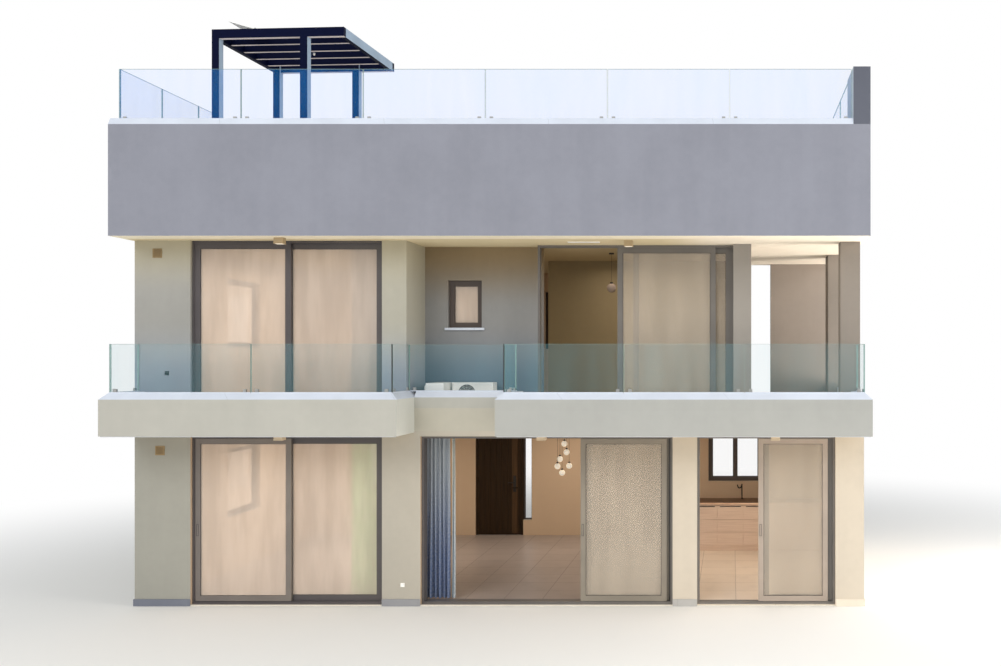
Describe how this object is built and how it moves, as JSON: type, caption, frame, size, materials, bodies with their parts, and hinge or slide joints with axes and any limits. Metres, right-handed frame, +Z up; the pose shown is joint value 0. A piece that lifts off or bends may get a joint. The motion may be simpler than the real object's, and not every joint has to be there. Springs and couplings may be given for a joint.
{
  "type": "beach house",
  "caption": "Two-storey flat-roofed beach house with glass-fronted balconies, sliding glass doors, a covered side terrace and a roof terrace with a pergola.",
  "frame": {"origin": "on the ground under the middle of the house's bounding box", "axes": "+Z up, the front with the sliding doors and balconies faces -Y, +X to the right seen from the front"},
  "size_m": [11.12, 7, 9.3532],
  "materials": {
    "floor_stone": "honed tiles",
    "wall_render": "painted fine render",
    "shade_render": "taupe painted fine render",
    "fascia_render": "grey painted fine render",
    "white_stone": "smooth white marble",
    "guard_glass": "clear with a green edge",
    "window_glass": "reflective double glazing",
    "frame_metal": "matt powder coat",
    "navy_metal": "satin powder coat",
    "white_metal": "satin white paint",
    "door_wood": "dark stained, vertical grooves",
    "counter_board": "cream lacquered board",
    "curtain_cloth": "gathered woven cloth"
  },
  "bodies": {
    "house": {"ground_slab": "floor_stone", "upper_floor_slab": "wall_render", "balcony_slabs": "wall_render", "roof_slabs": "wall_render", "wall_skirting": "white_stone", "ground_front_piers": "wall_render", "ground_lintels": "wall_render", "ground_side_walls": "wall_render", "ground_rear_walls": "wall_render", "upper_block_walls": "wall_render", "upper_left_wall": "wall_render", "upper_rear_wall": "wall_render", "recess_wall": "shade_render", "bedroom_side_wall": "shade_render", "bedroom_back_wall": "shade_render", "terrace_back_wall": "shade_render", "terrace_pillars": "shade_render", "balcony_front_upstands": "wall_render", "balcony_end_upstands": "wall_render", "balcony_coping": "white_stone", "balcony_glass": "guard_glass", "roof_fascia_front_rear": "fascia_render", "roof_fascia_sides": "fascia_render", "roof_coping": "white_stone", "roof_fin": "fascia_render", "roof_glass": "guard_glass", "pergola_columns": "navy_metal", "pergola_beams": "navy_metal", "pergola_side_beams": "navy_metal", "pergola_panel": "white_metal", "ground_door_frames": "frame_metal", "upper_door_frames": "frame_metal", "window_frames": "frame_metal", "entry_door_frame": "frame_metal", "fixed_glass": "window_glass", "air_conditioners": "white_metal", "kitchen_counter": "counter_board", "box_lamps": "white_metal", "curtains": "curtain_cloth"},
    "left_leaf": {"left_leaf": "frame_metal", "left_leaf_glass": "window_glass"},
    "living_outer_leaf": {"living_outer_leaf": "frame_metal", "living_outer_glass": "window_glass"},
    "living_middle_leaf": {"living_middle_leaf": "frame_metal", "living_middle_glass": "window_glass"},
    "kitchen_leaf": {"kitchen_leaf": "frame_metal", "kitchen_leaf_glass": "window_glass"},
    "entry_door": {"entry_door": "door_wood"}
  },
  "joints": [
    {"name": "left_leaf_slide", "type": "slide", "parent": "house", "child": "left_leaf", "axis": [1, 0, 0], "range_m": [0, 1.36]},
    {"name": "living_outer_slide", "type": "slide", "parent": "house", "child": "living_outer_leaf", "axis": [-1, 0, 0], "range_m": [0, 2.372]},
    {"name": "living_middle_slide", "type": "slide", "parent": "house", "child": "living_middle_leaf", "axis": [-1, 0, 0], "range_m": [0, 1.184]},
    {"name": "kitchen_leaf_slide", "type": "slide", "parent": "house", "child": "kitchen_leaf", "axis": [-1, 0, 0], "range_m": [0, 0.887]},
    {"name": "entry_door_hinge", "type": "hinge", "parent": "house", "child": "entry_door", "pos_m": [-1.8165, 3.28, 0], "axis": [0, 0, -1], "range_deg": [0, 90]}
  ]
}
